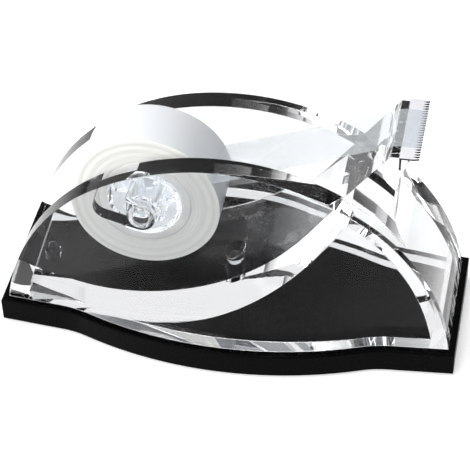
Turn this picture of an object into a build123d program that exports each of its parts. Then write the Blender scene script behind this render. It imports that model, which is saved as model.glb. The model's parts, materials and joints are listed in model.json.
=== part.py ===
"""Desk tape dispenser: clear moulded body on a weighted black base, with a hub that carries the roll.

Frame: millimetres, +Z up, +X towards the cutting blade, +Y across the object.
The origin is the middle of the underside, on the surface that the dispenser stands on.
"""
from build123d import *
from math import atan2, cos, degrees, radians, sin, sqrt, tan
import os

os.makedirs("parts", exist_ok=True)

# ---- driving dimensions ------------------------------------------------------------------
# tape roll
tape_width = 19.0
roll_diameter = 50.5
core_bore = 25.4
core_wall = 3.1
tape_film = 0.2
peel_angle = 25.0
peel_gap = 0.3

# overall sizes: the width follows from the tape, the bay and the walls
base_length = 158.0
arch_height = 76.0
middle_swell = 12.45

# base
base_height = 9.9
base_wall = 2.4
base_top = 2.2
base_edge_radius = 0.6
ledge = 2.6
shoulder_inset = 27.0
shoulder_swell = 2.2
shoulder_blend = 5.0
pad_thickness = 1.0
pad_inset = 2.0
cover_thickness = 1.6
ballast_play = 0.3

# clear body
arch_end_ledge = 2.34
wall_top = 7.2
wall_flare = 1.05
skirt_wall = 7.0
roof_wall = 6.6
bay_clearance = 3.9
cradle_radius = 83.5
cradle_behind_axle = 12.6
cradle_lowest = 16.5
cradle_wall = 6.9
cradle_start_angle = 200.0
ramp_angle = 53.0
crown_pinch = 2.2
crown_shoulder_swell = 0.1

# arm that carries the blade
arm_rise = 9.4
arm_side_overlap = 1.0
arm_tip_length = 6.6
arm_tang_wall = 0.94
arm_foot_ahead = 1.44
arm_foot_sunk = 0.44

# axle and its channels
axle_diameter = 9.5
axle_bore = 5.4
axle_inset = 51.6
axle_below_crown = 24.4
axle_chamfer = 0.5
channel_depth = 3.6
channel_clearance = 0.15
axle_end_clearance = 0.25
seat_leg = 11.6
seat_leg_angle = 166.0
mouth_leg_angle = 72.0

# hub
hub_wall = 1.7
hub_rim_overhang = 0.5
hub_tube_wall = 1.6
hub_side_clearance = 0.7
hub_web = 1.6
hub_ribs = 6
hub_rib = 1.4
hub_rib_width = 15.0
spin_clearance = 0.06

# cutting blade
blade_overhang = 0.8
blade_thickness = 0.6
blade_flat = 4.4
blade_setback = 2.8
blade_tang = 5.0
tooth_length = 1.9
tooth_count = 25
tail_setback = 0.3

# fasteners
post_diameter = 6.4
post_inset = 14.0
post_ahead_of_axle = 29.4
body_screw_diameter = 2.9
body_screw_length = 8.0
screw_head_diameter = 5.6
screw_head_height = 1.8
recess_length = 3.0
recess_width = 0.7
recess_depth = 0.9
ballast_screw_clearance = 1.2
cover_screw_diameter = 2.2
cover_screw_length = 4.6
cover_head_diameter = 4.2
boss_diameter = 6.4
boss_inset_x = 12.0
boss_inset_y = 9.75
fit_gap = 0.2

# ---- derived sizes -----------------------------------------------------------------------
bay_half = tape_width / 2 + bay_clearance
top_half = bay_half + wall_top
base_end_half = top_half + wall_flare + ledge
base_middle_half = base_end_half + middle_swell
base_half = base_length / 2
shoulder_x = base_half - shoulder_inset
core_diameter = core_bore + 2 * core_wall

# the arch is the circle through its crown and both ends of the clear body's foot
arch_rise = arch_height - base_height
arch_reach = base_half - arch_end_ledge
arch_radius = (arch_reach**2 + arch_rise**2) / (2 * arch_rise)
arch_centre_z = arch_height - arch_radius
envelope_height = arch_rise + 1

axle_x = axle_inset - base_half
axle_z = arch_height - axle_below_crown
cradle_centre_x = axle_x - cradle_behind_axle
cradle_centre_z = cradle_lowest + cradle_radius
cradle_outer_radius = cradle_radius + cradle_wall
tangent_x = cradle_centre_x + cradle_radius * sin(radians(ramp_angle))
tangent_z = cradle_centre_z - cradle_radius * cos(radians(ramp_angle))

arm_half = bay_half + arm_side_overlap
arm_tip_z = arch_height + arm_rise
arm_tip_x = tangent_x + (arm_tip_z - tangent_z) / tan(radians(ramp_angle))
arm_nose_x = arm_tip_x + arm_tip_length
arm_foot_x = arm_nose_x + arm_foot_ahead
arm_foot_z = arch_centre_z + sqrt((arch_radius - arm_foot_sunk) ** 2 - arm_foot_x**2)

axle_half = bay_half + channel_depth - axle_end_clearance
channel_width = axle_diameter + 2 * channel_clearance
axle_hole = axle_diameter + 2 * spin_clearance
tube_diameter = axle_hole + 2 * hub_tube_wall
hub_rim_width = tape_width + 2 * hub_rim_overhang
hub_tube_width = 2 * (bay_half - hub_side_clearance)

housing_floor_z = base_height - base_top
cover_top_z = pad_thickness + cover_thickness
ballast_thickness = housing_floor_z - cover_top_z - ballast_play
head_cone_height = (cover_head_diameter - cover_screw_diameter) / 2
boss_x = base_half - boss_inset_x
boss_y = base_end_half - boss_inset_y

blade_width = 2 * (arm_half + blade_overhang)
blade_top_z = arm_tip_z + blade_thickness
blade_x = arm_tip_x + blade_setback
tooth_pitch = blade_width / tooth_count


def plan_outline(half_length, end_half, shoulder_half, middle_half):
    """Plan face with straight flanks at the ends and a round swelling in the middle of each side."""
    with BuildSketch() as outline:
        with BuildLine():
            Polyline((-half_length, 0), (-half_length, end_half), (-shoulder_x, shoulder_half))
            ThreePointArc((-shoulder_x, shoulder_half), (0, middle_half), (shoulder_x, shoulder_half))
            Polyline((shoulder_x, shoulder_half), (half_length, end_half), (half_length, 0))
            mirror(about=Plane.XZ)
        make_face()
        swell_angle = 2 * atan2(middle_half - shoulder_half, shoulder_x)
        flank_angle = atan2(shoulder_half - end_half, half_length - shoulder_x)
        turn = swell_angle - flank_angle
        shoulders = outline.vertices().filter_by(lambda v: abs(abs(v.X) - shoulder_x) < 0.01)
        fillet(shoulders, shoulder_blend / tan(turn / 2))
    return outline.sketch


def base_outline(inset):
    """Outline of the base, or of a piece that fits inside it with the given inset."""
    half = base_end_half - inset
    return plan_outline(base_half - inset, half, half + shoulder_swell, base_middle_half - inset)


def body_envelope(inset):
    """Solid that flares from the straight top of the walls down to the swelling foot outline."""
    foot_half = base_end_half - ledge - inset
    foot_middle = base_middle_half - ledge - inset
    half_length = base_half - inset
    crown_half = top_half - crown_pinch - inset
    crown_shoulder = crown_half + crown_shoulder_swell
    with BuildPart() as envelope:
        with BuildSketch(Plane.XY.offset(base_height)):
            add(plan_outline(half_length, foot_half, foot_half + shoulder_swell, foot_middle))
        with BuildSketch(Plane.XY.offset(base_height + envelope_height)):
            add(plan_outline(half_length, crown_half, crown_shoulder, top_half - inset))
        loft(ruled=True)
    return envelope.part


def above_cradle(radius):
    """Side-view face above the cradle curve: a round dip, then a straight ramp up to the blade."""
    far = 2 * arch_height
    ramp_end = (
        cradle_centre_x + radius * sin(radians(ramp_angle)) + arch_radius * cos(radians(ramp_angle)),
        cradle_centre_z - radius * cos(radians(ramp_angle)) + arch_radius * sin(radians(ramp_angle)),
    )
    with BuildSketch() as region:
        with BuildLine():
            dip = CenterArc(
                (cradle_centre_x, cradle_centre_z),
                radius,
                cradle_start_angle,
                270 + ramp_angle - cradle_start_angle,
            )
            Polyline(dip @ 1, ramp_end, (ramp_end[0], far), ((dip @ 0).X, far), dip @ 0)
        make_face()
    return region.sketch


def roof_cylinder(radius):
    """Cylinder across the object, concentric with the arch."""
    with BuildPart() as cylinder:
        with BuildSketch(Plane.XZ):
            with Locations((0, arch_centre_z)):
                Circle(radius)
        extrude(amount=2 * base_middle_half, both=True)
    return cylinder.part


def leg_end(x, z, length, angle):
    """Point at the end of a leg that leaves (x, z) at an angle above +X."""
    return (x + length * cos(radians(angle)), z + length * sin(radians(angle)))


def channel_leg(start, end, width):
    """Round-ended slot between two points, drawn in side view."""
    run = (end[0] - start[0], end[1] - start[1])
    with Locations(((start[0] + end[0]) / 2, (start[1] + end[1]) / 2)):
        SlotCenterToCenter(sqrt(run[0] ** 2 + run[1] ** 2), width, rotation=degrees(atan2(run[1], run[0])))


def axle_channel(width):
    """J-shaped channel: down from the mouth on the arch, then forward to the seat of the axle."""
    toe = leg_end(axle_x, axle_z, seat_leg, seat_leg_angle)
    mouth_leg = (arch_height + width / 2 - toe[1]) / sin(radians(mouth_leg_angle))
    mouth = leg_end(toe[0], toe[1], mouth_leg, mouth_leg_angle)
    with BuildSketch() as channel:
        channel_leg((axle_x, axle_z), toe, width)
        channel_leg(toe, mouth, width)
    return channel.sketch


def cradle_under(x):
    """Height of the cradle's lower surface at a place along the object."""
    return cradle_centre_z - sqrt(cradle_outer_radius**2 - (x - cradle_centre_x) ** 2)


body_screw_places = [(post_inset - base_half, 0), (axle_x + post_ahead_of_axle, 0)]
boss_places = [(x, y) for x in (-boss_x, boss_x) for y in (-boss_y, boss_y)]

# ---- base --------------------------------------------------------------------------------
with BuildPart() as base_housing:
    with BuildSketch(Plane.XY.offset(pad_thickness)):
        add(base_outline(0))
    extrude(amount=base_height - pad_thickness)
    fillet(base_housing.faces().sort_by(Axis.Z)[-1].edges(), base_edge_radius)
    with BuildSketch(Plane.XY.offset(pad_thickness)):
        add(base_outline(base_wall))
    extrude(amount=housing_floor_z - pad_thickness, mode=Mode.SUBTRACT)
    with BuildSketch(Plane.XY.offset(cover_top_z)):
        with Locations(*boss_places):
            Circle(boss_diameter / 2)
    extrude(amount=housing_floor_z - cover_top_z + fit_gap)
    with BuildSketch(Plane.XY.offset(pad_thickness)):
        with Locations(*boss_places):
            Circle(cover_screw_diameter / 2)
    extrude(amount=cover_screw_length, mode=Mode.SUBTRACT)
    with BuildSketch(Plane.XY.offset(housing_floor_z)):
        with Locations(*body_screw_places):
            Circle(body_screw_diameter / 2 + fit_gap)
    extrude(amount=base_top, mode=Mode.SUBTRACT)

with BuildPart() as ballast_plate:
    with BuildSketch(Plane.XY.offset(cover_top_z)):
        add(base_outline(base_wall + 2 * fit_gap))
        with Locations(*boss_places):
            Circle(boss_diameter / 2 + 2 * fit_gap, mode=Mode.SUBTRACT)
        with Locations(*body_screw_places):
            Circle(screw_head_diameter / 2 + ballast_screw_clearance, mode=Mode.SUBTRACT)
    extrude(amount=ballast_thickness)

with BuildPart() as base_cover:
    with BuildSketch(Plane.XY.offset(pad_thickness)):
        add(base_outline(base_wall + fit_gap))
    extrude(amount=cover_thickness)
    with Locations(Plane(origin=(0, 0, pad_thickness), z_dir=(0, 0, -1))):
        with Locations(*boss_places):
            CounterSinkHole(
                (cover_screw_diameter + fit_gap) / 2,
                (cover_head_diameter + fit_gap) / 2,
                depth=cover_thickness,
                counter_sink_angle=90,
            )

with BuildPart() as non_slip_pad:
    with BuildSketch():
        add(base_outline(pad_inset))
    extrude(amount=pad_thickness)

# ---- clear body --------------------------------------------------------------------------
with BuildPart() as clear_body:
    add(body_envelope(0))
    add(roof_cylinder(arch_radius), mode=Mode.INTERSECT)

    # tape bay between the side walls, above the cradle
    with BuildSketch(Plane.XZ):
        add(above_cradle(cradle_radius))
    extrude(amount=bay_half, both=True, mode=Mode.SUBTRACT)

    # hollow underneath, inside the skirt and below the cradle and the roof
    with BuildPart(mode=Mode.PRIVATE) as hollow:
        add(body_envelope(skirt_wall))
        add(roof_cylinder(arch_radius - roof_wall), mode=Mode.INTERSECT)
        with BuildSketch(Plane.XZ):
            add(above_cradle(cradle_outer_radius))
        extrude(amount=2 * base_middle_half, both=True, mode=Mode.SUBTRACT)
    add(hollow.part, mode=Mode.SUBTRACT)

    # arm that carries the blade, standing on the roof
    with BuildSketch(Plane.XZ):
        with BuildLine():
            tang_foot = (blade_x + blade_thickness + arm_tang_wall, arm_tip_z - blade_tang)
            front = ThreePointArc((arm_nose_x, arm_tip_z), tang_foot, (arm_foot_x, arm_foot_z))
            Polyline(front @ 1, (tangent_x, tangent_z), (arm_tip_x, arm_tip_z), front @ 0)
        make_face()
        with Locations((0, arch_centre_z)):
            Circle(arch_radius - roof_wall / 2, mode=Mode.SUBTRACT)
    extrude(amount=arm_half, both=True)

    # slot for the blade's tang
    with BuildSketch(Plane.XZ):
        with Locations((blade_x + blade_thickness / 2, arm_tip_z - blade_tang / 2)):
            Rectangle(blade_thickness, blade_tang)
    extrude(amount=arm_half, both=True, mode=Mode.SUBTRACT)

    # channels for the axle in the inner faces of both walls
    with BuildSketch(Plane.XZ):
        add(axle_channel(channel_width))
    extrude(amount=bay_half + channel_depth, both=True, mode=Mode.SUBTRACT)

    # screw posts that stand on the base under the cradle, each with a blind hole
    for x, y in body_screw_places:
        with BuildSketch(Plane.XY.offset(base_height)):
            with Locations((x, y)):
                Circle(post_diameter / 2)
        extrude(amount=cradle_under(x) + cradle_wall / 2 - base_height)
        with BuildSketch(Plane.XY.offset(base_height)):
            with Locations((x, y)):
                Circle(body_screw_diameter / 2)
        extrude(amount=body_screw_length - base_top + fit_gap, mode=Mode.SUBTRACT)

# ---- cutting blade -----------------------------------------------------------------------
with BuildPart() as cutter_blade:
    with BuildSketch(Plane.XY.offset(arm_tip_z)):
        with BuildLine():
            teeth = [(blade_x + blade_flat, -blade_width / 2)]
            for tooth in range(tooth_count):
                start_y = tooth * tooth_pitch - blade_width / 2
                teeth.append((blade_x + blade_flat + tooth_length, start_y + tooth_pitch / 2))
                teeth.append((blade_x + blade_flat, start_y + tooth_pitch))
            Polyline(*teeth, (blade_x, blade_width / 2), (blade_x, -blade_width / 2), close=True)
        make_face()
    extrude(amount=blade_thickness)
    with BuildSketch(Plane.XZ):
        with Locations((blade_x + blade_thickness / 2, arm_tip_z - blade_tang / 2)):
            Rectangle(blade_thickness, blade_tang)
    extrude(amount=arm_half, both=True)

# ---- tape tail: peels off the roll and lies over the arm's tip and the blade ----------------
peel = leg_end(axle_x, axle_z, roll_diameter / 2 + peel_gap, peel_angle)
tail_path = [
    peel,
    (arm_tip_x, arm_tip_z + tape_film / 2),
    (blade_x, blade_top_z),
    (blade_x + blade_flat + tooth_length - tail_setback, blade_top_z),
]
with BuildPart() as tape_tail:
    with BuildSketch(Plane.XZ):
        with BuildLine():
            upper_side = [(x, z + tape_film) for x, z in reversed(tail_path)]
            Polyline(*tail_path, *upper_side, close=True)
        make_face()
    extrude(amount=tape_width / 2, both=True)

# ---- axle, hub and tape roll -------------------------------------------------------------
axle_line = Plane(origin=(axle_x, 0, axle_z), x_dir=(1, 0, 0), z_dir=(0, -1, 0))


def ring(outer, bore, width):
    """Ring about the axle line, centred across the object."""
    with BuildPart() as piece:
        with BuildSketch(axle_line):
            Circle(outer / 2)
            Circle(bore / 2, mode=Mode.SUBTRACT)
        extrude(amount=width / 2, both=True)
    return piece.part


with BuildPart() as axle_pin:
    add(ring(axle_diameter, axle_bore, 2 * axle_half))
    chamfer(axle_pin.edges().filter_by(GeomType.CIRCLE), axle_chamfer)

with BuildPart() as hub_drum:
    add(ring(tube_diameter, axle_hole, hub_tube_width))
    add(ring(core_bore, core_bore - 2 * hub_wall, hub_rim_width))
    add(ring(core_bore - hub_wall, tube_diameter - hub_tube_wall, hub_web))
    with BuildSketch(axle_line):
        inner_reach = (tube_diameter - hub_tube_wall) / 2
        outer_reach = (core_bore - hub_wall) / 2
        with PolarLocations((inner_reach + outer_reach) / 2, hub_ribs):
            Rectangle(outer_reach - inner_reach, hub_rib)
    extrude(amount=hub_rib_width / 2, both=True)

with BuildPart() as tape_core:
    add(ring(core_diameter, core_bore, tape_width))

with BuildPart() as tape_winding:
    add(ring(roll_diameter, core_diameter, tape_width))


# ---- fasteners ---------------------------------------------------------------------------
def cross_recess(x, y, z):
    """Cross-shaped driver recess cut upwards from the face of a head at height z."""
    with BuildPart(mode=Mode.PRIVATE) as recess:
        with BuildSketch(Plane.XY.offset(z)):
            with Locations((x, y)):
                Rectangle(recess_length, recess_width)
                Rectangle(recess_width, recess_length)
        extrude(amount=recess_depth)
    return recess.part


def body_screw(x, y):
    """Pan-head screw that rises through the roof of the base into a post of the clear body."""
    with BuildPart() as screw:
        with BuildSketch(Plane.XY.offset(housing_floor_z)):
            with Locations((x, y)):
                Circle(body_screw_diameter / 2)
        extrude(amount=body_screw_length)
        with BuildSketch(Plane.XY.offset(housing_floor_z - screw_head_height)):
            with Locations((x, y)):
                Circle(screw_head_diameter / 2)
        extrude(amount=screw_head_height)
        fillet(screw.edges().group_by(Axis.Z)[0], screw_head_height / 3)
        add(cross_recess(x, y, housing_floor_z - screw_head_height), mode=Mode.SUBTRACT)
    return screw.part


def cover_screw(x, y):
    """Countersunk screw that holds the bottom cover to a boss of the base."""
    shank = cover_screw_diameter / 2
    with BuildPart() as screw:
        with BuildSketch(Plane.XY.offset(pad_thickness)):
            with Locations((x, y)):
                Circle(shank)
        extrude(amount=cover_screw_length)
        with BuildSketch(Plane.XY.offset(pad_thickness)):
            with Locations((x, y)):
                Circle(cover_head_diameter / 2)
        with BuildSketch(Plane.XY.offset(pad_thickness + head_cone_height)):
            with Locations((x, y)):
                Circle(shank)
        loft()
        add(cross_recess(x, y, pad_thickness), mode=Mode.SUBTRACT)
    return screw.part


# ---- write one file per piece --------------------------------------------------------------
pieces = {
    "base_housing": base_housing.part,
    "ballast_plate": ballast_plate.part,
    "base_cover": base_cover.part,
    "non_slip_pad": non_slip_pad.part,
    "clear_body": clear_body.part,
    "cutter_blade": cutter_blade.part,
    "tape_tail": tape_tail.part,
    "axle_pin": axle_pin.part,
    "hub_drum": hub_drum.part,
    "tape_core": tape_core.part,
    "tape_winding": tape_winding.part,
}
for end, (x, y) in zip(("rear", "front"), body_screw_places):
    pieces[f"body_screw_{end}"] = body_screw(x, y)
for x, y in boss_places:
    end = "rear" if x < 0 else "front"
    side = "near" if y < 0 else "far"
    pieces[f"cover_screw_{end}_{side}"] = cover_screw(x, y)

for name, piece in pieces.items():
    piece.label = name
    export_step(piece, f"parts/{name}.step")
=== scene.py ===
"""Looks of the desk tape dispenser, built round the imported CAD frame.

The scene is in metres, +Z up, +X towards the cutting blade. Named sizes of the object are in
millimetres, as in the part.
"""

import json
import math
from collections import namedtuple

import bmesh
import bpy
from mathutils import Matrix, Vector


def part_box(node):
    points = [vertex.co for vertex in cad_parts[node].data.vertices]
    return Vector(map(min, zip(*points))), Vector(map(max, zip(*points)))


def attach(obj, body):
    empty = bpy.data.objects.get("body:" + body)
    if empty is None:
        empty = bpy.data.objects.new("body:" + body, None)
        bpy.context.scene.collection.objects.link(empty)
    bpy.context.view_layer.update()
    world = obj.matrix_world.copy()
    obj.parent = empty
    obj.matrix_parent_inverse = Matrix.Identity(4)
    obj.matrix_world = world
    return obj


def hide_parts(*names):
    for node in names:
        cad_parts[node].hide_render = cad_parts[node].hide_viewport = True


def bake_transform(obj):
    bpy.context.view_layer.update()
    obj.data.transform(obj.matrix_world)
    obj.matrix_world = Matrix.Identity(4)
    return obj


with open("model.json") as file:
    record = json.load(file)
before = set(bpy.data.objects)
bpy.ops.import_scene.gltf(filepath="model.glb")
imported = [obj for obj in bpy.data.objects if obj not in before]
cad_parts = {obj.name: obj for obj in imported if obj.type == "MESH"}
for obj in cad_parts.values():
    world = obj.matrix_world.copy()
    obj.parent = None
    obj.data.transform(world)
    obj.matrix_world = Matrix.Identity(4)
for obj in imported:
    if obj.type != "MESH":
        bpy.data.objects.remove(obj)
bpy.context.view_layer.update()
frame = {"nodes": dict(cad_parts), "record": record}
nodes = frame["nodes"]
MM = 0.001
scene = bpy.context.scene


# ---- node helpers --------------------------------------------------------------------------
def new_material(name):
    """Empty node material with its output node."""
    mat = bpy.data.materials.new(name)
    mat.use_nodes = True
    mat.node_tree.nodes.clear()
    out = mat.node_tree.nodes.new("ShaderNodeOutputMaterial")
    return mat, mat.node_tree, out


def node(tree, kind, **settings):
    """New node with its attributes and unlinked inputs set."""
    made = tree.nodes.new(kind)
    for key, value in settings.items():
        label = key.replace("_", " ")
        if label in made.inputs:
            made.inputs[label].default_value = value
        else:
            setattr(made, key, value)
    return made


def link(tree, source, target):
    tree.links.new(source, target)


def principled(tree, out, **values):
    """Principled shader joined to the output. Keys are socket names with underscores for spaces."""
    shader = tree.nodes.new("ShaderNodeBsdfPrincipled")
    for key, value in values.items():
        shader.inputs[key.replace("_", " ")].default_value = value
    link(tree, shader.outputs[0], out.inputs[0])
    return shader


def mix_color(tree, share, first, second):
    """Colour between two, each one a plain colour or a colour output."""
    made = node(tree, "ShaderNodeMix", data_type="RGBA")
    link(tree, share, made.inputs["Factor"])
    for slot, value in (("A", first), ("B", second)):
        if hasattr(value, "is_linked"):
            link(tree, value, made.inputs[slot])
        else:
            made.inputs[slot].default_value = (*value, 1)
    return made.outputs["Result"]


def bump_from(tree, height, strength, distance, *shaders):
    bump = node(tree, "ShaderNodeBump", Strength=strength, Distance=distance)
    link(tree, height, bump.inputs["Height"])
    for shader in shaders:
        link(tree, bump.outputs[0], shader.inputs["Normal"])
    return bump


def object_coords(tree, scale=(1, 1, 1), location=(0, 0, 0)):
    coords = tree.nodes.new("ShaderNodeTexCoord")
    mapping = node(tree, "ShaderNodeMapping", Scale=scale, Location=location)
    link(tree, coords.outputs["Object"], mapping.inputs["Vector"])
    return mapping.outputs[0]


def axis_of(tree, vector, axis):
    """One axis of a vector output."""
    split = node(tree, "ShaderNodeSeparateXYZ")
    link(tree, vector, split.inputs[0])
    return split.outputs[axis]


def math_node(tree, operation, first, second=None):
    made = node(tree, "ShaderNodeMath", operation=operation)
    for slot, value in enumerate((first, second)):
        if value is None:
            continue
        if hasattr(value, "is_linked"):
            link(tree, value, made.inputs[slot])
        else:
            made.inputs[slot].default_value = value
    return made.outputs[0]


def absolute(tree, value):
    return math_node(tree, "ABSOLUTE", value)


def product(tree, first, second):
    return math_node(tree, "MULTIPLY", first, second)


def map_range(tree, source, low, high, to_low, to_high):
    """Source rescaled from low..high to to_low..to_high, and held at both ends."""
    made = node(
        tree, "ShaderNodeMapRange", From_Min=low, From_Max=high, To_Min=to_low, To_Max=to_high
    )
    link(tree, source, made.inputs["Value"])
    return made.outputs[0]


# ---- sizes read off the frame, in millimetres ------------------------------------------------
Corner = namedtuple("Corner", "x y z")


def box_mm(name):
    """Low and high corner of a CAD node's box."""
    return [Corner(*(value / MM for value in corner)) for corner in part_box(name)]


def ring_radius(name):
    """Outer radius of a CAD node that is round about the axle line."""
    lo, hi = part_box(name)
    return (hi.z - lo.z) / 2 / MM


BODY_CORNER = box_mm("clear_body")[1]
BASE_CORNER = box_mm("base_housing")[1]
BASE_TOP = BASE_CORNER.z
# the middle of the axle, which alone is in metres
AXLE = sum(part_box("axle_pin"), Vector()) / 2
AXLE_X = AXLE.x / MM
AXLE_Z = AXLE.z / MM
AXLE_HALF = box_mm("axle_pin")[1].y
AXLE_RADIUS = ring_radius("axle_pin")
HUB_RADIUS = ring_radius("hub_drum")
HUB_TUBE_HALF = box_mm("hub_drum")[1].y
CORE_RADIUS = ring_radius("tape_core")
ROLL_RADIUS = ring_radius("tape_winding")
TAPE_HALF = box_mm("tape_winding")[1].y


# ---- materials -----------------------------------------------------------------------------
ACRYLIC_IOR = 1.49
# half the thickness of the cloudy web in the middle of the hub
WEB_HALF = 0.8


def clear_acrylic(name, tint=(0.945, 0.955, 0.962), edge=0.0, sheen=0.2, ripple=0.0, milky_and_glow=None):
    """Polished clear moulded plastic.

    edge rounds the edges in the shading, sheen scales what the surface reflects head-on, ripple is the
    unevenness of the moulded faces, and milky is how much light a cloudy web in the middle lets through;
    where milky is given, the web also gets a painted glow, an emission that stands in for light reaching it.
    """
    mat, tree, out = new_material(name)
    shader = principled(
        tree, out, Base_Color=(*tint, 1), Roughness=0.0, IOR=ACRYLIC_IOR, Transmission_Weight=1.0
    )
    shader.inputs["Specular Tint"].default_value = (sheen, sheen, sheen, 1)
    if edge:
        rounding = node(tree, "ShaderNodeBevel", Radius=edge)
        rounding.samples = 4
        link(tree, rounding.outputs[0], shader.inputs["Normal"])
    if ripple:
        flow = node(tree, "ShaderNodeTexNoise", Scale=1.0, Detail=1.0, Roughness=0.3)
        link(tree, object_coords(tree, (34, 34, 60)), flow.inputs["Vector"])
        bump = bump_from(tree, flow.outputs["Fac"], ripple, MM, shader)
        if edge:
            link(tree, rounding.outputs[0], bump.inputs["Normal"])
    if milky_and_glow:
        across = absolute(tree, axis_of(tree, object_coords(tree), "Y"))
        web = map_range(tree, across, (WEB_HALF + 0.1) * MM, (WEB_HALF + 0.5) * MM, milky_and_glow, 1.0)
        link(tree, web, shader.inputs["Transmission Weight"])
        # painted glow: the cloudy web emits a faint bluish light, standing in for light that would reach it
        # inside the drum
        shader.inputs["Emission Color"].default_value = (0.9, 0.95, 1, 1)
        link(tree, map_range(tree, web, milky_and_glow, 1.0, 0.38, 0.0), shader.inputs["Emission Strength"])
    return mat


def black_plastic():
    """Black moulded plastic: satin grain, and shallow upright ribs in the middle of the long sides."""
    mat, tree, out = new_material("base_black")
    shader = principled(tree, out, Base_Color=(0.0008, 0.0008, 0.0009, 1), Specular_IOR_Level=0.03)
    coords = object_coords(tree)
    grain = node(tree, "ShaderNodeTexNoise", Scale=2200.0, Detail=3.0)
    link(tree, coords, grain.inputs["Vector"])
    link(tree, map_range(tree, grain.outputs["Fac"], 0.3, 0.7, 0.22, 0.36), shader.inputs["Roughness"])
    along = axis_of(tree, coords, "X")
    ribs = math_node(tree, "SINE", product(tree, along, 5200.0))
    middle = map_range(tree, absolute(tree, along), 12 * MM, 30 * MM, 1.0, 0.0)
    shallow = product(tree, product(tree, ribs, middle), 0.35)
    height = math_node(tree, "ADD", product(tree, grain.outputs["Fac"], 0.25), shallow)
    bump_from(tree, height, 0.25, 0.12 * MM, shader)
    return mat


def metal(name, color, rough, streak=(40, 4000, 40), flank=None):
    """Metal with fine drawn streaks. flank, where given, is a darker base colour painted on faces that stand
    upright: painted shade, for how light falls on them.
    """
    mat, tree, out = new_material(name)
    shader = principled(tree, out, Base_Color=(*color, 1), Metallic=1.0)
    streaks = node(tree, "ShaderNodeTexNoise", Scale=1.0, Detail=4.0)
    link(tree, object_coords(tree, streak), streaks.inputs["Vector"])
    gloss = map_range(tree, streaks.outputs["Fac"], 0.3, 0.7, rough * 0.75, rough * 1.3)
    link(tree, gloss, shader.inputs["Roughness"])
    bump_from(tree, streaks.outputs["Fac"], 0.2, 0.03 * MM, shader)
    # painted shade: upright faces get the flank colour, while flat faces keep the metal's own colour
    if flank:
        facing = tree.nodes.new("ShaderNodeTexCoord")
        level = absolute(tree, axis_of(tree, facing.outputs["Normal"], "Z"))
        tone = mix_color(tree, map_range(tree, level, 0.5, 0.9, 0.0, 1.0), (flank,) * 3, color)
        link(tree, tone, shader.inputs["Base Color"])
    return mat


def rubber():
    """Dull foam of the pad, with small cells."""
    mat, tree, out = new_material("pad_foam")
    shader = principled(tree, out, Base_Color=(0.012, 0.012, 0.012, 1), Roughness=0.85)
    cells = node(tree, "ShaderNodeTexVoronoi", Scale=1800.0)
    link(tree, object_coords(tree), cells.inputs["Vector"])
    bump_from(tree, cells.outputs["Distance"], 0.5, 0.2 * MM, shader)
    return mat


def roll_radius(tree):
    """Distance from the axle line, in metres, as a node output."""
    coords = object_coords(tree, location=(-AXLE.x, 0, -AXLE.z))
    flat = node(tree, "ShaderNodeVectorMath", operation="MULTIPLY")
    flat.inputs[1].default_value = (1, 0, 1)
    link(tree, coords, flat.inputs[0])
    length = node(tree, "ShaderNodeVectorMath", operation="LENGTH")
    link(tree, flat.outputs[0], length.inputs[0])
    return length.outputs["Value"]


def ring_noise(tree, radius, rings_per_metre, **settings):
    """Noise that changes only with the distance from the axle line."""
    rings = node(tree, "ShaderNodeTexNoise", noise_dimensions="1D", Scale=1.0, **settings)
    link(tree, product(tree, radius, rings_per_metre), rings.inputs["W"])
    return rings.outputs["Fac"]


def tape_roll_material():
    """Milky wound film: cool and smooth on the tread, warmer with rings of layers on the sides."""
    mat, tree, out = new_material("tape_roll_film")
    shader = principled(tree, out, Roughness=0.28, IOR=1.4, Subsurface_Weight=0.4, Subsurface_Scale=3 * MM)
    shader.inputs["Subsurface Radius"].default_value = (1.0, 1.0, 1.0)
    radius = roll_radius(tree)
    rings = ring_noise(tree, radius, 3200.0, Detail=4.0, Roughness=0.75)
    bands = ring_noise(tree, radius, 620.0, Detail=1.0)
    outer = map_range(tree, radius, 18.5 * MM, 20.5 * MM, 0.35, 1.0)
    fine = product(tree, math_node(tree, "SUBTRACT", rings, 0.5), outer)
    broad = product(tree, math_node(tree, "SUBTRACT", bands, 0.5), 0.7)
    layers = math_node(tree, "ADD", math_node(tree, "ADD", fine, broad), 0.5)
    ramp = node(tree, "ShaderNodeValToRGB")
    low, high = ramp.color_ramp.elements
    low.position, low.color = 0.3, (0.69, 0.69, 0.66, 1)
    high.position, high.color = 0.64, (0.8, 0.8, 0.775, 1)
    link(tree, layers, ramp.inputs[0])
    across = absolute(tree, axis_of(tree, object_coords(tree), "Y"))
    inward = map_range(tree, across, (TAPE_HALF - 0.6) * MM, TAPE_HALF * MM, 1.0, 0.78)
    tread = mix_color(tree, inward, (0.42, 0.44, 0.47), (0.78, 0.8, 0.83))
    facing = tree.nodes.new("ShaderNodeTexCoord")
    side = absolute(tree, axis_of(tree, facing.outputs["Normal"], "Y"))
    link(tree, mix_color(tree, side, tread, ramp.outputs[0]), shader.inputs["Base Color"])
    bump_from(tree, layers, 0.12, 0.1 * MM, shader)
    return mat


def core_material():
    """Cloudy plastic of the core. Its bore glows faintly, for the light that real film would let through."""
    mat, tree, out = new_material("core_cloudy")
    shader = principled(
        tree, out, Base_Color=(0.78, 0.78, 0.765, 1), Roughness=0.15, IOR=1.45,
        Transmission_Weight=0.12, Subsurface_Weight=0.5, Subsurface_Scale=3 * MM,
    )
    shader.inputs["Subsurface Radius"].default_value = (1.0, 1.0, 1.0)
    shader.inputs["Emission Color"].default_value = (0.93, 0.96, 1, 1)
    radius = roll_radius(tree)
    bump_from(tree, ring_noise(tree, radius, 900.0, Detail=2.0), 0.15, 0.1 * MM, shader)
    bore = map_range(tree, radius, (HUB_RADIUS + 0.1) * MM, (HUB_RADIUS + 0.3) * MM, 0.45, 0.0)
    link(tree, bore, shader.inputs["Emission Strength"])
    return mat


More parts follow.
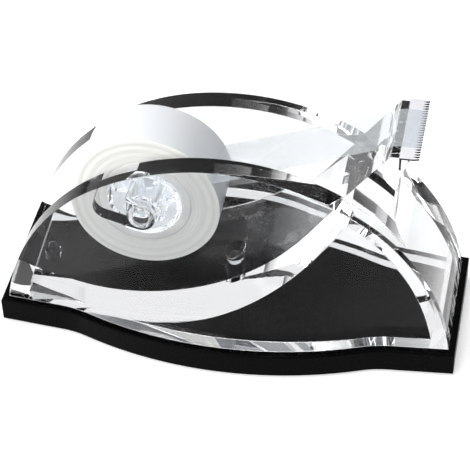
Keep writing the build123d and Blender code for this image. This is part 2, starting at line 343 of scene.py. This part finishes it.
def film_material():
    """Thin clear film with a cool tint, a little haze, and a faint sheen along its length."""
    mat, tree, out = new_material("tape_film_clear")
    clear = node(tree, "ShaderNodeBsdfTransparent", Color=(0.965, 0.976, 0.986, 1))
    gloss = node(tree, "ShaderNodeBsdfGlossy", Roughness=0.12)
    facing = node(tree, "ShaderNodeLayerWeight", Blend=0.12)
    streaks = node(tree, "ShaderNodeTexNoise", Scale=1.0, Detail=2.0)
    link(tree, object_coords(tree, (12, 260, 12)), streaks.inputs["Vector"])
    uneven = map_range(tree, streaks.outputs["Fac"], 0.3, 0.7, 0.4, 1.0)
    share = product(tree, facing.outputs["Facing"], uneven)
    haze = node(tree, "ShaderNodeBsdfDiffuse", Color=(0.76, 0.79, 0.82, 1))
    body = node(tree, "ShaderNodeMixShader", Fac=0.2)
    link(tree, clear.outputs[0], body.inputs[1])
    link(tree, haze.outputs[0], body.inputs[2])
    mix = node(tree, "ShaderNodeMixShader")
    link(tree, share, mix.inputs[0])
    link(tree, body.outputs[0], mix.inputs[1])
    link(tree, gloss.outputs[0], mix.inputs[2])
    link(tree, mix.outputs[0], out.inputs[0])
    bump_from(tree, streaks.outputs["Fac"], 0.1, 0.1 * MM, gloss)
    return mat


materials = {
    "clear_plastic": clear_acrylic("body_clear", edge=0.35 * MM, sheen=0.08, ripple=0.004),
    "hub_plastic": clear_acrylic("hub_clear", tint=(0.97, 0.975, 0.985), sheen=0.8, milky_and_glow=0.08),
    "axle_plastic": clear_acrylic("axle_clear", sheen=0.8),
    "core_plastic": core_material(),
    "black_plastic": black_plastic(),
    "ballast_steel": metal("ballast", (0.3, 0.3, 0.31), 0.4, (900, 900, 900)),
    "pad_rubber": rubber(),
    "screw_steel": metal("screw", (0.03, 0.03, 0.032), 0.5, (1500, 1500, 1500)),
    # the blade's upright faces get painted shade, a near-black colour in place of the bright steel
    "blade_steel": metal("blade", (0.97, 0.97, 1.0), 0.55, flank=0.02),
    "tape_roll": tape_roll_material(),
    "tape_film": film_material(),
}
for part in frame["record"]["subparts"]:
    mesh = nodes[part["node"]].data
    mesh.materials.clear()
    mesh.materials.append(materials[part["material_slot"]])


# ---- mesh helpers --------------------------------------------------------------------------
def raw_object(name, work):
    """Object from a closed bmesh, with its faces turned outwards."""
    bmesh.ops.recalc_face_normals(work, faces=work.faces)
    mesh = bpy.data.meshes.new(name)
    work.to_mesh(mesh)
    work.free()
    made = bpy.data.objects.new(name, mesh)
    scene.collection.objects.link(made)
    return made


def shade(piece, sharp=30):
    """Smooth shading, with edges sharper than the angle in degrees kept."""
    mesh = piece.data
    mesh.polygons.foreach_set("use_smooth", [True] * len(mesh.polygons))
    mesh.set_sharp_from_angle(angle=math.radians(sharp))


def finish_piece(name, work, slot, sharp=30):
    """Shaded object from a bmesh, with the material of its slot."""
    piece = raw_object(name, work)
    shade(piece, sharp)
    piece.data.materials.append(materials[slot])
    return piece


def hand_in(piece, body, slot, *stood_for):
    """Joins a piece to its body, and lets it stand for CAD nodes. slot is not used."""
    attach(piece, body)
    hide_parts(*stood_for)


def close_loops(work, loops):
    """Joins each loop of vertices to the next, as bands of quads."""
    size = len(loops[0])
    for low, high in zip(loops, loops[1:]):
        for k in range(size):
            j = (k + 1) % size
            work.faces.new((low[k], low[j], high[j], high[k]))


def prism(points, half):
    """Closed prism from a side-view outline [(x, z)], from -half to +half across."""
    work = bmesh.new()
    near, far = (
        [work.verts.new((x * MM, y * MM, z * MM)) for x, z in points] for y in (-half, half)
    )
    work.faces.new(near)
    work.faces.new(list(reversed(far)))
    for k in range(len(points)):
        j = (k + 1) % len(points)
        work.faces.new((near[k], far[k], far[j], near[j]))
    return raw_object("prism", work)


def drop(thing):
    """Removes an object and its mesh."""
    mesh = thing.data
    bpy.data.objects.remove(thing)
    bpy.data.meshes.remove(mesh)


def combine(target, tool, operation):
    """Applies a boolean of tool on target, and removes tool."""
    modifier = target.modifiers.new("cut", "BOOLEAN")
    modifier.object = tool
    modifier.operation = operation
    modifier.solver = "EXACT"
    graph = bpy.context.evaluated_depsgraph_get()
    result = bpy.data.meshes.new_from_object(target.evaluated_get(graph))
    target.modifiers.clear()
    old = target.data
    target.data = result
    bpy.data.meshes.remove(old)
    drop(tool)


def arc(centre, radius, start, end, count):
    """Points along an arc, angles in degrees."""
    angles = [math.radians(start + (end - start) * k / count) for k in range(count + 1)]
    return [(centre[0] + radius * math.cos(a), centre[1] + radius * math.sin(a)) for a in angles]


def circle(centre, radius, count=360):
    """Points of a full circle, the first not repeated."""
    return arc(centre, radius, 0, 360 - 360 / count, count - 1)


def beyond(start, length, turn):
    """Point at a length from the start, at an angle in radians above +X."""
    return (start[0] + length * math.cos(turn), start[1] + length * math.sin(turn))


def arc_through(first, middle, last, count):
    """Points on the circle through three points, from the first to the last."""
    (ax, ay), (bx, by), (cx, cy) = first, middle, last
    d = 2 * (ax * (by - cy) + bx * (cy - ay) + cx * (ay - by))
    sa, sb, sc = ax * ax + ay * ay, bx * bx + by * by, cx * cx + cy * cy
    ux = (sa * (by - cy) + sb * (cy - ay) + sc * (ay - by)) / d
    uy = (sa * (cx - bx) + sb * (ax - cx) + sc * (bx - ax)) / d
    radius = math.hypot(ax - ux, ay - uy)
    angles = [math.degrees(math.atan2(y - uy, x - ux)) for x, y in (first, middle, last)]
    for k in (1, 2):
        while angles[k] - angles[k - 1] > 180:
            angles[k] -= 360
        while angles[k] - angles[k - 1] < -180:
            angles[k] += 360
    return arc((ux, uy), radius, angles[0], angles[2], count)


# ---- clear moulding ------------------------------------------------------------------------
# air between the moulding and the base that it stands on
AIR_GAP = 0.05

# plan outlines: at the foot, and at the crown of the arch
BASE_HALF = BASE_CORNER.x
SHOULDER_INSET = 27.0
SHOULDER = BASE_HALF - SHOULDER_INSET
SHOULDER_SWELL = 2.2
SHOULDER_BLEND = 5.0
FOOT_MIDDLE = BODY_CORNER.y
FOOT_END = 21.65
CROWN_MIDDLE = 20.6
CROWN_END = 18.4
CROWN_SWELL = 0.1
FOOT_HALVES = (FOOT_END, FOOT_END + SHOULDER_SWELL, FOOT_MIDDLE)
CROWN_HALVES = (CROWN_END, CROWN_END + CROWN_SWELL, CROWN_MIDDLE)
SKIRT_WALL = 7.0
ENVELOPE_ROWS = 14
ENVELOPE_COLUMNS = 150

# arch: the circle through its crown and both ends of the foot
ARCH_HEIGHT = 76.0
ARCH_REACH = BODY_CORNER.x
ARCH_RISE = ARCH_HEIGHT - BASE_TOP
ARCH_RADIUS = (ARCH_REACH**2 + ARCH_RISE**2) / (2 * ARCH_RISE)
ARCH_CENTRE = (0, ARCH_HEIGHT - ARCH_RADIUS)
ROOF_WALL = 6.6

# bay and cradle
BAY_HALF = 13.4
CRADLE_RADIUS = 83.5
CRADLE_WALL = 6.9
CRADLE_START = 200
CRADLE_BEHIND_AXLE = 12.6
CRADLE_LOWEST = 16.5
CRADLE_CENTRE = (AXLE_X - CRADLE_BEHIND_AXLE, CRADLE_LOWEST + CRADLE_RADIUS)
RAMP = math.radians(53.0)

# arm and the blade's slot
ARM_OVERLAP = 1.0
ARM_HALF = BAY_HALF + ARM_OVERLAP
ARM_TIP_LENGTH = 6.6
ARM_FOOT_AHEAD = 1.44
ARM_FOOT_SUNK = 0.44
ARM_TANG_WALL = 0.94
BLADE_SETBACK = 2.8
BLADE_THICKNESS = 0.6
BLADE_TANG = 5.0

# channels for the axle
CHANNEL_DEPTH = 3.6
CHANNEL_WIDTH = 9.8
CHANNEL_HALF = BAY_HALF + CHANNEL_DEPTH
SEAT_LEG = 11.6
SEAT_LEG_TURN = math.radians(166)
MOUTH_LEG_TURN = math.radians(72)

# screw posts; a hole is 0.1 narrower than the 2.9 of its screw
POST_INSET = 14.0
POST_AHEAD_OF_AXLE = 29.4
POST_PLACES = (POST_INSET - BASE_HALF, AXLE_X + POST_AHEAD_OF_AXLE)
POST_DIAMETER = 6.4
SCREW_HOLE = 2.8
SCREW_HOLE_DEPTH = 5.85


def outline_half(x, length, end, shoulder, middle):
    """Half width of a plan outline at x: straight flank, blended shoulder, then a round swelling."""
    def plain(u):
        if u > SHOULDER:
            return shoulder + (end - shoulder) * (u - SHOULDER) / (length - SHOULDER)
        rise = middle - shoulder
        radius = (SHOULDER**2 + rise**2) / (2 * rise)
        return middle - radius + math.sqrt(radius**2 - u * u)

    u = abs(x)
    start, stop = SHOULDER - SHOULDER_BLEND, SHOULDER + SHOULDER_BLEND
    if not start < u < stop:
        return plain(u)
    step = 1e-3
    slope_in = (plain(start) - plain(start - step)) / step
    slope_out = (plain(stop + step) - plain(stop)) / step
    span = stop - start
    t = (u - start) / span
    return (
        (2 * t**3 - 3 * t * t + 1) * plain(start) + (t**3 - 2 * t * t + t) * span * slope_in
        + (3 * t * t - 2 * t**3) * plain(stop) + (t**3 - t * t) * span * slope_out
    )


def envelope(inset, bottom):
    """Closed solid that narrows from the outline of the foot up to the one above the arch."""
    top = BASE_TOP + ARCH_RISE + 1
    length = BASE_HALF - inset
    work = bmesh.new()
    loops = []
    for row in range(ENVELOPE_ROWS + 1):
        z = bottom + (top - bottom) * row / ENVELOPE_ROWS
        t = (z - BASE_TOP) / (top - BASE_TOP)
        side = []
        for column in range(ENVELOPE_COLUMNS + 1):
            x = -length + 2 * length * column / ENVELOPE_COLUMNS
            foot = outline_half(x, length, *(half - inset for half in FOOT_HALVES))
            crown = outline_half(x, length, *(half - inset for half in CROWN_HALVES))
            side.append((x, foot + (crown - foot) * t))
        around = side + [(x, -y) for x, y in reversed(side)]
        loops.append([work.verts.new((x * MM, y * MM, z * MM)) for x, y in around])
    close_loops(work, loops)
    work.faces.new(loops[0])
    work.faces.new(list(reversed(loops[-1])))
    return raw_object("envelope", work)


def above_cradle(radius):
    """Side-view outline of the space above the cradle and its ramp."""
    far_up, ramp_length = 160.0, 90.0
    dip = arc(CRADLE_CENTRE, radius, CRADLE_START, 270 + math.degrees(RAMP), 120)
    end = beyond(dip[-1], ramp_length, RAMP)
    return dip + [end, (end[0], far_up), (dip[0][0], far_up)]


def slot_outline(start, end, width, count=24):
    """Side-view outline of a round-ended slot."""
    turn = math.degrees(math.atan2(end[1] - start[1], end[0] - start[0]))
    tip = arc(end, width / 2, turn - 90, turn + 90, count)
    return tip + arc(start, width / 2, turn + 90, turn + 270, count)


def post(x, diameter, bottom, top):
    """Upright round post on the centre line."""
    work = bmesh.new()
    bmesh.ops.create_cone(
        work, cap_ends=True, segments=48, radius1=diameter / 2 * MM, radius2=diameter / 2 * MM,
        depth=(top - bottom) * MM, matrix=Matrix.Translation((x * MM, 0, (top + bottom) / 2 * MM)),
    )
    return raw_object("post", work)


def shell():
    """Walls, cradle and roof."""
    body = envelope(0, BASE_TOP + AIR_GAP)
    wide = 60
    combine(body, prism(circle(ARCH_CENTRE, ARCH_RADIUS), wide), "INTERSECT")
    combine(body, prism(above_cradle(CRADLE_RADIUS), BAY_HALF), "DIFFERENCE")
    hollow = envelope(SKIRT_WALL, BASE_TOP - 3)
    combine(hollow, prism(circle(ARCH_CENTRE, ARCH_RADIUS - ROOF_WALL), wide), "INTERSECT")
    combine(hollow, prism(above_cradle(CRADLE_RADIUS + CRADLE_WALL), wide), "DIFFERENCE")
    combine(body, hollow, "DIFFERENCE")
    return body


def add_arm(body):
    """Arm on the roof, with a curved front and the slot for the blade's tang."""
    tip_z = BODY_CORNER.z
    tangent = (
        CRADLE_CENTRE[0] + CRADLE_RADIUS * math.sin(RAMP),
        CRADLE_CENTRE[1] - CRADLE_RADIUS * math.cos(RAMP),
    )
    tip_x = tangent[0] + (tip_z - tangent[1]) / math.tan(RAMP)
    blade_x = tip_x + BLADE_SETBACK
    nose_x = tip_x + ARM_TIP_LENGTH
    foot_x = nose_x + ARM_FOOT_AHEAD
    foot_z = ARCH_CENTRE[1] + math.sqrt((ARCH_RADIUS - ARM_FOOT_SUNK) ** 2 - foot_x**2)
    tang_foot = (blade_x + BLADE_THICKNESS + ARM_TANG_WALL, tip_z - BLADE_TANG)
    front = arc_through((nose_x, tip_z), tang_foot, (foot_x, foot_z), 48)
    sunk_foot = (foot_x - 5.0, foot_z - 1.0)
    sunk_back = beyond(tangent, 14, RAMP)
    combine(body, prism(front + [sunk_foot, sunk_back, (tip_x, tip_z)], ARM_HALF), "UNION")

    low, high = tip_z - BLADE_TANG, tip_z + 1
    front_x = blade_x + BLADE_THICKNESS
    slot = prism([(blade_x, low), (front_x, low), (front_x, high), (blade_x, high)], BAY_HALF + 3)
    combine(body, slot, "DIFFERENCE")


def cut_channels(body):
    """J-shaped channels in the inner faces of both walls."""
    seat = (AXLE_X, AXLE_Z)
    toe = beyond(seat, SEAT_LEG, SEAT_LEG_TURN)
    rise = (ARCH_HEIGHT + CHANNEL_WIDTH / 2 - toe[1]) / math.sin(MOUTH_LEG_TURN)
    mouth = beyond(toe, rise, MOUTH_LEG_TURN)
    channel = prism(slot_outline(seat, toe, CHANNEL_WIDTH), CHANNEL_HALF)
    combine(channel, prism(slot_outline(toe, mouth, CHANNEL_WIDTH), CHANNEL_HALF), "UNION")
    combine(body, channel, "DIFFERENCE")


def add_posts(body):
    """Screw posts under the cradle, with blind holes."""
    for x in POST_PLACES:
        under = CRADLE_CENTRE[1] - math.sqrt((CRADLE_RADIUS + CRADLE_WALL) ** 2 - (x - CRADLE_CENTRE[0]) ** 2)
        bottom, top = BASE_TOP + AIR_GAP, under + CRADLE_WALL / 2
        combine(body, post(x, POST_DIAMETER, bottom, top), "UNION")
        hole = post(x, SCREW_HOLE, BASE_TOP - 1, BASE_TOP + SCREW_HOLE_DEPTH)
        combine(body, hole, "DIFFERENCE")


def moulding():
    """Whole clear moulding as one mesh."""
    body = shell()
    add_arm(body)
    cut_channels(body)
    add_posts(body)
    work = bmesh.new()
    work.from_mesh(body.data)
    drop(body)
    bmesh.ops.remove_doubles(work, verts=work.verts, dist=1e-6)
    bmesh.ops.dissolve_degenerate(work, edges=work.edges, dist=1e-6)
    return finish_piece("clear_body_moulding", work, "clear_plastic", 25)


hand_in(moulding(), "root", "clear_plastic", "clear_body")


# ---- axle, hub and tape roll ---------------------------------------------------------------
HUB_WALL = 1.7
HUB_TUBE_REACH = 1.66
HUB_RIM_OVERHANG = 0.5
HUB_RIBS = 6
HUB_RIB_HALF = 7.5
HUB_RIB_THICKNESS = 1.4
SPIN_CLEARANCE = 0.06
AXLE_BORE = 2.7


def lathe(profile, count=160):
    """Closed ring round the axle line, from a cross-section [(radius, y)]."""
    work = bmesh.new()
    loops = []
    for k in range(count):
        turn = 2 * math.pi * k / count
        loops.append([
            work.verts.new((
                AXLE.x + r * MM * math.cos(turn), y * MM, AXLE.z + r * MM * math.sin(turn)
            ))
            for r, y in profile
        ])
    close_loops(work, loops + loops[:1])
    return work


def rounded_ring(inner, outer, half, edge):
    """Cross-section of a ring with rounded corners."""
    corners = [(inner, -half), (outer, -half), (outer, half), (inner, half)]
    inward = [(1, 1), (-1, 1), (-1, -1), (1, -1)]
    starts = [180, 270, 0, 90]
    section = []
    for (r, y), (dr, dy), start in zip(corners, inward, starts):
        section += arc((r + dr * edge, y + dy * edge), edge, start, start + 90, 4)
    return section


def mirrored(section):
    """Closed cross-section from its half on the far side, given from the smallest radius round."""
    return section + [(r, -y) for r, y in reversed(section)]


def winding_side():
    """Far side of the winding, from its bore out: layers stand a little in or out of each other."""
    steps, inner, outer = 54, CORE_RADIUS + 0.03, ROLL_RADIUS - 0.12
    section = []
    for k in range(steps + 1):
        r = inner + (outer - inner) * k / steps
        wander = 0.03 * math.sin(2.1 * r) + 0.015 * math.sin(5.3 * r + 1.0) + 0.006 * math.sin(12.7 * r)
        section.append((r, TAPE_HALF - 0.08 + wander))
    return section + [(ROLL_RADIUS - 0.03, TAPE_HALF - 0.14), (ROLL_RADIUS, TAPE_HALF - 0.3)]


def tape_roll():
    """Winding on its core."""
    winding = finish_piece("tape_roll_layers", lathe(mirrored(winding_side()), 220), "tape_roll", 40)
    hand_in(winding, "hub", "tape_roll", "tape_winding")
    ring = rounded_ring(HUB_RADIUS + 0.04, CORE_RADIUS - 0.03, TAPE_HALF - 0.05, 0.3)
    core = finish_piece("tape_core_ring", lathe(ring), "core_plastic")
    hand_in(core, "hub", "core_plastic", "tape_core")


def axle():
    """Hollow pin with rounded ends."""
    ring = rounded_ring(AXLE_BORE, AXLE_RADIUS, AXLE_HALF, 0.45)
    pin = finish_piece("axle_pin_clear", lathe(ring, 96), "axle_plastic")
    hand_in(pin, "axle", "axle_plastic", "axle_pin")


def rib_outline(inner, outer, turn):
    """Side-view outline of a rib that stands between two radii, at an angle round the axle."""
    thick = HUB_RIB_THICKNESS / 2
    corners = [(inner, -thick), (outer, -thick), (outer, thick), (inner, thick)]
    cos, sin = math.cos(turn), math.sin(turn)
    return [(AXLE_X + r * cos - t * sin, AXLE_Z + r * sin + t * cos) for r, t in corners]


def hub():
    """Drum in one moulding: tube on the axle, web, rim and ribs."""
    soft = 0.25
    tube_in = AXLE_RADIUS + SPIN_CLEARANCE
    tube_out = AXLE_RADIUS + HUB_TUBE_REACH
    rim_in, rim_out = HUB_RADIUS - HUB_WALL, HUB_RADIUS - 0.02
    rim_half = TAPE_HALF + HUB_RIM_OVERHANG
    half = [
        (tube_in, HUB_TUBE_HALF - soft), (tube_in + soft, HUB_TUBE_HALF),
        (tube_out - soft, HUB_TUBE_HALF), (tube_out, HUB_TUBE_HALF - soft),
        (tube_out, WEB_HALF), (rim_in, WEB_HALF),
        (rim_in, rim_half - soft), (rim_in + soft, rim_half),
        (rim_out - soft, rim_half), (rim_out, rim_half - soft),
    ]
    drum = finish_piece("hub_drum_clear", lathe(mirrored(half), 144), "hub_plastic")
    inner, outer = (tube_in + tube_out) / 2, (rim_in + rim_out) / 2
    for k in range(HUB_RIBS):
        rib = rib_outline(inner, outer, 2 * math.pi * k / HUB_RIBS)
        combine(drum, prism(rib, HUB_RIB_HALF), "UNION")
    shade(drum)
    hand_in(drum, "hub", "hub_plastic", "hub_drum")


tape_roll()
axle()
hub()


# ---- blade ---------------------------------------------------------------------------------
TEETH = 25
TOOTH_LENGTH = 1.9
TOOTH_TIP_HALF = 0.05
GULLET_HALF = 0.06
ROLLED_EDGE = 0.08
TANG_THICKNESS = 0.56


def blade():
    """Steel strip with ground teeth, rolled edges, and a tang down into the arm."""
    lo, hi = box_mm("cutter_blade")
    low, top = hi.z - BLADE_THICKNESS, hi.z
    pitch = 2 * hi.y / TEETH
    root, tip = hi.x - TOOTH_LENGTH, hi.x - 0.03
    outline = [(lo.x, hi.y), (lo.x, -hi.y)]
    for k in range(TEETH):
        y = -hi.y + k * pitch
        middle = y + pitch / 2
        outline += [
            (root, y + GULLET_HALF), (tip, middle - TOOTH_TIP_HALF),
            (tip, middle + TOOTH_TIP_HALF), (root, y + pitch - GULLET_HALF),
        ]

    def rolled(x, y, soft):
        """Corner of the outline, drawn in where the strip's edge is rolled."""
        inward = soft if x == lo.x else -0.3 * soft
        return x + inward, y - math.copysign(min(soft, abs(y)) * 0.5, y)

    work = bmesh.new()
    levels = [(low, ROLLED_EDGE), (low + ROLLED_EDGE, 0), (top - ROLLED_EDGE, 0), (top, ROLLED_EDGE)]
    loops = []
    for z, soft in levels:
        corners = [rolled(x, y, soft) for x, y in outline]
        loops.append([work.verts.new((x * MM, y * MM, z * MM)) for x, y in corners])
    close_loops(work, loops)
    work.faces.new(list(reversed(loops[0])))
    work.faces.new(loops[-1])
    strip = finish_piece("cutter_blade_strip", work, "blade_steel")

    back, foot, head = lo.x + 0.02, lo.z + 0.1, low + 0.2
    front = back + TANG_THICKNESS
    tang = prism([(back, foot), (front, foot), (front, head), (back, head)], ARM_HALF - 0.05)
    combine(strip, tang, "UNION")
    shade(strip)
    hand_in(strip, "root", "blade_steel", "cutter_blade")


blade()


# ---- tape tail -----------------------------------------------------------------------------
TAIL_STEPS = 24
TAIL_COLUMNS = 8
FILM_THICKNESS = 0.12
FILM_SAG = 0.35
FILM_CROWN = 0.25


def tail():
    """Thin film from the top of the roll over the bay to the blade, with a slight sag and crown.

    The points of this function are in metres.
    """
    lo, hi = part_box("tape_tail")
    blade_lo, blade_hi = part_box("cutter_blade")
    start = Vector((lo.x, 0, lo.z + 0.1 * MM))
    tip = Vector((blade_lo.x - BLADE_SETBACK * MM, 0, blade_hi.z - 0.4 * MM))
    on_blade = hi.z - 0.19 * MM
    line = [start.lerp(tip, k / TAIL_STEPS) for k in range(TAIL_STEPS + 1)]
    line += [Vector((blade_lo.x, 0, on_blade)), Vector((hi.x - 0.1 * MM, 0, on_blade))]
    half = hi.y * 0.995
    work = bmesh.new()
    loops = []
    for index, point in enumerate(line):
        free = math.sin(math.pi * min(index / TAIL_STEPS, 1.0))
        under, over = [], []
        for k in range(TAIL_COLUMNS + 1):
            u = -1 + 2 * k / TAIL_COLUMNS
            z = point.z + (FILM_CROWN * (1 - u * u) - FILM_SAG) * free * MM
            under.append(work.verts.new((point.x, u * half, z)))
            over.append(work.verts.new((point.x, u * half, z + FILM_THICKNESS * MM)))
        loops.append(under + over[::-1])
    close_loops(work, loops)
    for loop in (loops[0], loops[-1]):
        for k in range(TAIL_COLUMNS):
            work.faces.new((loop[k], loop[k + 1], loop[-k - 2], loop[-k - 1]))
    piece = finish_piece("tape_tail_film", work, "tape_film", 60)
    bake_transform(piece)
    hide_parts("tape_tail")


tail()


# ---- floor, light and camera ---------------------------------------------------------------
def floor():
    """Plain white floor, with a faint glow of its own round the object."""
    mesh = bpy.data.meshes.new("floor")
    half = 3.0
    corners = [(-half, -half, 0), (half, -half, 0), (half, half, 0), (-half, half, 0)]
    mesh.from_pydata(corners, [], [(0, 1, 2, 3)])
    plane = bpy.data.objects.new("floor", mesh)
    scene.collection.objects.link(plane)
    mat, tree, out = new_material("floor_white")
    shader = principled(tree, out, Base_Color=(0.8, 0.8, 0.8, 1), Roughness=1.0, Specular_IOR_Level=0.0)
    shader.inputs["Emission Color"].default_value = (1, 1, 1, 1)
    distance = node(tree, "ShaderNodeVectorMath", operation="LENGTH")
    link(tree, object_coords(tree), distance.inputs[0])
    near_glow = map_range(tree, distance.outputs["Value"], 160 * MM, 400 * MM, 0.5, 0.0)
    link(tree, near_glow, shader.inputs["Emission Strength"])
    mesh.materials.append(mat)


floor()

def studio():
    """Soft light: bright behind the object and low all round, dark overhead and to the right."""
    world = bpy.data.worlds.new("studio")
    scene.world = world
    world.use_nodes = True
    tree = world.node_tree
    tree.nodes.clear()
    out = tree.nodes.new("ShaderNodeOutputWorld")
    background = tree.nodes.new("ShaderNodeBackground")
    link(tree, background.outputs[0], out.inputs[0])
    coords = tree.nodes.new("ShaderNodeTexCoord")
    split = tree.nodes.new("ShaderNodeSeparateXYZ")
    link(tree, coords.outputs["Generated"], split.inputs[0])
    back = map_range(tree, split.outputs["Y"], 0.1, 0.5, 0.0, 1.0)
    up = map_range(tree, split.outputs["Z"], 0.72, 0.92, 1.1, 0.06)
    side = map_range(tree, split.outputs["X"], 0.25, 0.5, 1.0, 0.1)
    low = map_range(tree, split.outputs["Z"], 0.02, 0.2, 0.9, 0.08)
    behind = product(tree, product(tree, back, up), side)
    link(tree, math_node(tree, "MAXIMUM", behind, low), background.inputs["Strength"])


def area_light(name, place, target, size, power):
    """Rectangular softbox that faces its target."""
    light = bpy.data.lights.new(name, "AREA")
    light.shape = "RECTANGLE"
    light.size, light.size_y = size
    light.energy = power
    lamp = bpy.data.objects.new(name, light)
    lamp.location = place
    lamp.rotation_mode = "QUATERNION"
    lamp.rotation_quaternion = (Vector(target) - Vector(place)).to_track_quat("-Z", "Y")
    scene.collection.objects.link(lamp)


studio()
area_light("softbox_top", (-0.1, -0.12, 0.9), (0, 0, 0.03), (0.6, 0.6), 5.5)
area_light("softbox_front", (-0.5, -0.8, 0.35), (0, 0, 0.04), (0.9, 0.5), 9.0)
area_light("softbox_left", (-0.75, 0.25, 0.5), (0, 0, 0.04), (0.3, 0.3), 1.0)

camera = bpy.data.cameras.new("camera")
camera.lens = 140.53
camera.sensor_width = 36.0
camera.clip_start = 0.01
camera.clip_end = 20.0
rig = bpy.data.objects.new("camera", camera)
rig.matrix_world = Matrix((
    (0.98112, -0.11329, 0.15675, 0.09854),
    (0.19187, 0.67201, -0.71526, -0.45035),
    (-0.02431, 0.73183, 0.68106, 0.45942),
    (0, 0, 0, 1),
))
scene.collection.objects.link(rig)
scene.camera = rig
scene.view_settings.view_transform = "Standard"
scene.cycles.max_bounces = 24
scene.cycles.transmission_bounces = 24
scene.cycles.glossy_bounces = 12
scene.cycles.transparent_max_bounces = 16
